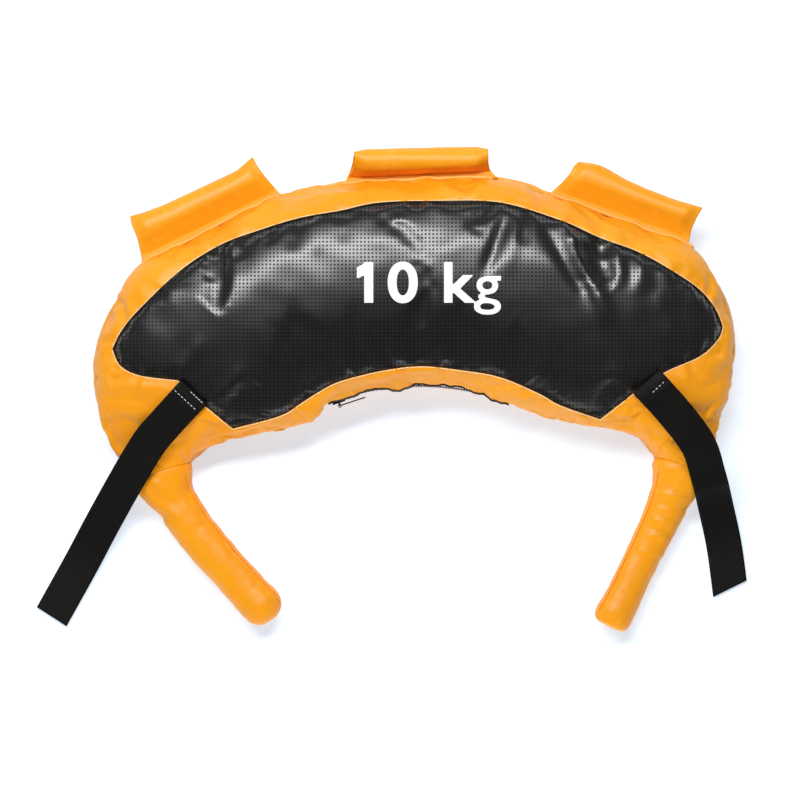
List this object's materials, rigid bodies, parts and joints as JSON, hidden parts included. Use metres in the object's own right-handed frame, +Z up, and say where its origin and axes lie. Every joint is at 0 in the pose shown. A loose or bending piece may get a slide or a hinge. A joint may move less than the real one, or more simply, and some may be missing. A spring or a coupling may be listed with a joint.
{
  "type": "sandbag trainer",
  "caption": "Crescent-shaped soft training bag that lies on a flat back, with padded horn grips, webbing loops, rolled top handles and a filling zip under its arch.",
  "frame": {"origin": "on the flat back panel that the bag lies on, under the middle of the body", "axes": "+X along the bag to the right, as the front panel is read; +Y from the horn grips to the top handles; +Z up out of the front panel"},
  "size_m": [0.6423, 0.4359, 0.1042],
  "materials": {
    "orange_cloth": "coated cloth, satin",
    "black_cloth": "pebbled coated cloth, satin",
    "webbing": "woven webbing, matte",
    "zip": "matte",
    "zip_metal": "black enamel",
    "sand_sack": "film over sand",
    "wadding": "fibre wadding",
    "handle_foam": "closed-cell foam"
  },
  "bodies": {
    "bag": {"front_panel": "black_cloth", "front_band": "orange_cloth", "outer_side_strip": "orange_cloth", "inner_side_strip": "orange_cloth", "back_panel": "black_cloth", "sand_sack_left": "sand_sack", "sand_sack_middle": "sand_sack", "sand_sack_right": "sand_sack", "lobe_wadding_left": "wadding", "lobe_wadding_right": "wadding", "horn_left_neck": "orange_cloth", "horn_left_neck_wadding": "wadding", "horn_right_neck": "orange_cloth", "horn_right_neck_wadding": "wadding", "loop_left_root": "webbing", "loop_right_root": "webbing", "handle_left_flange": "orange_cloth", "handle_centre_flange": "orange_cloth", "handle_right_flange": "orange_cloth", "zip_tape": "zip", "zip_chain": "zip", "zip_stop_left": "zip", "zip_stop_right": "zip"},
    "horn_left": {"horn_left_sleeve": "orange_cloth", "horn_left_core": "wadding", "horn_left_piping": "orange_cloth"},
    "horn_right": {"horn_right_sleeve": "orange_cloth", "horn_right_core": "wadding", "horn_right_piping": "orange_cloth"},
    "loop_left": {"loop_left": "webbing"},
    "loop_right": {"loop_right": "webbing"},
    "handle_left": {"handle_left_sleeve": "orange_cloth", "handle_left_core": "handle_foam"},
    "handle_centre": {"handle_centre_sleeve": "orange_cloth", "handle_centre_core": "handle_foam"},
    "handle_right": {"handle_right_sleeve": "orange_cloth", "handle_right_core": "handle_foam"},
    "zip_slider": {"zip_slider": "zip_metal"},
    "zip_pull": {"zip_pull": "zip_metal"}
  },
  "joints": [
    {"name": "horn_left_bend", "type": "hinge", "parent": "bag", "child": "horn_left", "pos_m": [-0.22576, -0.18472, 0.0201], "axis": [0, 0, 1], "range_deg": [-25, 20], "stiffness_Nm_per_rad": 1, "deforming": ["horn_left_neck", "horn_left_neck_wadding"]},
    {"name": "horn_right_bend", "type": "hinge", "parent": "bag", "child": "horn_right", "pos_m": [0.23426, -0.17892, 0.0201], "axis": [0, 0, 1], "range_deg": [-20, 22], "stiffness_Nm_per_rad": 1, "deforming": ["horn_right_neck", "horn_right_neck_wadding"]},
    {"name": "loop_left_lift", "type": "hinge", "parent": "bag", "child": "loop_left", "pos_m": [-0.20844, -0.10565, 0.08029], "axis": [-0.7561, 0.6477, 0.0939], "range_deg": [0, 120]},
    {"name": "loop_right_lift", "type": "hinge", "parent": "bag", "child": "loop_right", "pos_m": [0.21413, -0.0963, 0.08113], "axis": [-0.7527, -0.644, -0.1367], "range_deg": [0, 120]},
    {"name": "handle_left_flap", "type": "hinge", "parent": "bag", "child": "handle_left", "pos_m": [-0.18694, 0.05565, 0.046], "axis": [0.8988, 0.4383, -0.0003], "range_deg": [-60, 60], "stiffness_Nm_per_rad": 0.4},
    {"name": "handle_centre_flap", "type": "hinge", "parent": "bag", "child": "handle_centre", "pos_m": [-0.00024, 0.0996, 0.046], "axis": [0.9989, 0.0472, 0], "range_deg": [-105, 15], "stiffness_Nm_per_rad": 0.4},
    {"name": "handle_right_flap", "type": "hinge", "parent": "bag", "child": "handle_right", "pos_m": [0.18609, 0.0631, 0.046], "axis": [0.9405, -0.3399, 0.0003], "range_deg": [-60, 60], "stiffness_Nm_per_rad": 0.4},
    {"name": "zip_slide", "type": "hinge", "parent": "bag", "child": "zip_slider", "pos_m": [0.0018, -0.324, 0.046], "axis": [0, 0, -1], "range_deg": [0, 36.5]},
    {"name": "zip_pull_swing", "type": "hinge", "parent": "zip_slider", "child": "zip_pull", "pos_m": [-0.06935, -0.10855, 0.046], "axis": [0, 0, -1], "range_deg": [0, 170]}
  ]
}
